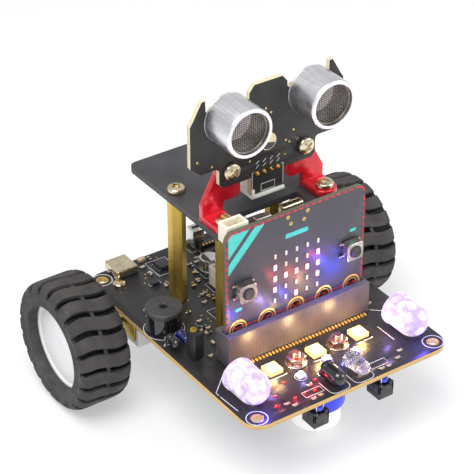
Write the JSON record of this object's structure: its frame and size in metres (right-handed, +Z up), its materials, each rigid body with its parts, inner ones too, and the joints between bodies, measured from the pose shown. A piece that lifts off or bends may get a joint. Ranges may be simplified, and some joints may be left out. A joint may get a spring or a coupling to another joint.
{
  "type": "line follower robot",
  "caption": "Two-wheeled line follower robot: black board chassis on a ball caster, upright plug-in controller card, raised plate and a two-can distance sensor.",
  "frame": {"origin": "on the ground, in the middle of the robot's footprint box", "axes": "+Z up, the robot drives towards -Y, +X to its left as it drives and along the wheel axle"},
  "size_m": [0.1232, 0.098, 0.1123],
  "materials": {
    "board_black": "glossy black solder mask",
    "card_grey": "satin dark grey solder mask",
    "plate_black": "satin black",
    "bracket_red": "glossy red anodised sheet",
    "brass": "bright turned brass",
    "screw_steel": "warm nickel plate",
    "aluminium": "satin turned aluminium",
    "steel": "bright pressed steel",
    "tyre_rubber": "matte dark rubber",
    "hub_white": "satin white",
    "plastic_white": "satin off-white",
    "plastic_black": "satin black",
    "plastic_blue": "glossy blue",
    "connector_smoke": "smoky translucent",
    "lamp_clear": "clear epoxy",
    "cell_sleeve": "shrink sleeve"
  },
  "bodies": {
    "chassis": {"battery_cell": "cell_sleeve", "battery_holder": "plastic_black", "battery_socket": "plastic_white", "buzzer": "plastic_black", "card_connector": "connector_smoke", "caster_body": "plastic_blue", "caster_bolt_left": "screw_steel", "caster_bolt_right": "screw_steel", "caster_cup": "plastic_white", "charge_socket": "steel", "headlight_left": "lamp_clear", "headlight_right": "lamp_clear", "infrared_lamp": "lamp_clear", "infrared_receiver": "plastic_black", "line_sensor_left": "plastic_black", "line_sensor_right": "plastic_black", "main_board": "board_black", "motor_left": "brass", "motor_mount_left": "plastic_white", "motor_mount_right": "plastic_white", "motor_right": "brass", "obstacle_lamp": "plastic_blue", "obstacle_receiver": "plastic_black", "plate_screw_front_left": "screw_steel", "plate_screw_front_right": "screw_steel", "plate_screw_rear_left": "screw_steel", "plate_screw_rear_right": "screw_steel", "power_switch_body": "steel", "sensor_board": "board_black", "sensor_bracket_left": "bracket_red", "sensor_bracket_right": "bracket_red", "sensor_eye_left": "aluminium", "sensor_eye_right": "aluminium", "sensor_screw_left": "screw_steel", "sensor_screw_right": "screw_steel", "sensor_socket": "plastic_white", "standoff_front_left": "brass", "standoff_front_right": "brass", "standoff_rear_left": "brass", "standoff_rear_right": "brass", "top_plate": "plate_black", "trimmer_body": "plastic_black"},
    "card": {"controller_card": "card_grey", "button_a_housing": "steel", "button_b_housing": "steel", "reset_button_housing": "steel", "card_usb_socket": "steel", "card_battery_socket": "plastic_white"},
    "button_a": {"button_a_plunger": "plastic_black"},
    "button_b": {"button_b_plunger": "plastic_black"},
    "reset_button": {"reset_button_plunger": "plastic_white"},
    "wheel_left": {"tyre_left": "tyre_rubber", "hub_left": "hub_white", "wheel_shaft_left": "steel"},
    "wheel_right": {"tyre_right": "tyre_rubber", "hub_right": "hub_white", "wheel_shaft_right": "steel"},
    "caster_wheel": {"caster_ball": "plastic_white"},
    "trimmer": {"trimmer_screw": "brass"},
    "power_knob": {"power_switch_knob": "plastic_black"}
  },
  "joints": [
    {"name": "card_lift", "type": "slide", "parent": "chassis", "child": "card", "axis": [0, 0, 1], "range_m": [0, 0.01]},
    {"name": "button_a_press", "type": "slide", "parent": "card", "child": "button_a", "axis": [0, 1, 0], "range_m": [0, 0.00025], "stiffness_N_per_m": 2000},
    {"name": "button_b_press", "type": "slide", "parent": "card", "child": "button_b", "axis": [0, 1, 0], "range_m": [0, 0.00025], "stiffness_N_per_m": 2000},
    {"name": "reset_button_press", "type": "slide", "parent": "card", "child": "reset_button", "axis": [0, -1, 0], "range_m": [0, 0.00025], "stiffness_N_per_m": 2000},
    {"name": "wheel_left_spin", "type": "hinge", "parent": "chassis", "child": "wheel_left", "pos_m": [-0.05265, 0.02765, 0.0214], "axis": [1, 0, 0], "continuous": true},
    {"name": "wheel_right_spin", "type": "hinge", "parent": "chassis", "child": "wheel_right", "pos_m": [0.05265, 0.02765, 0.0214], "axis": [1, 0, 0], "continuous": true},
    {"name": "caster_ball_roll", "type": "hinge", "parent": "chassis", "child": "caster_wheel", "pos_m": [0, -0.02945, 0.006], "axis": [1, 0, 0], "continuous": true},
    {"name": "trimmer_turn", "type": "hinge", "parent": "chassis", "child": "trimmer", "pos_m": [-0.0312, -0.00845, 0.0359], "axis": [0, 0, 1], "range_deg": [-135, 135]},
    {"name": "power_knob_slide", "type": "slide", "parent": "chassis", "child": "power_knob", "axis": [1, 0, 0], "range_m": [0, 0.001]}
  ]
}
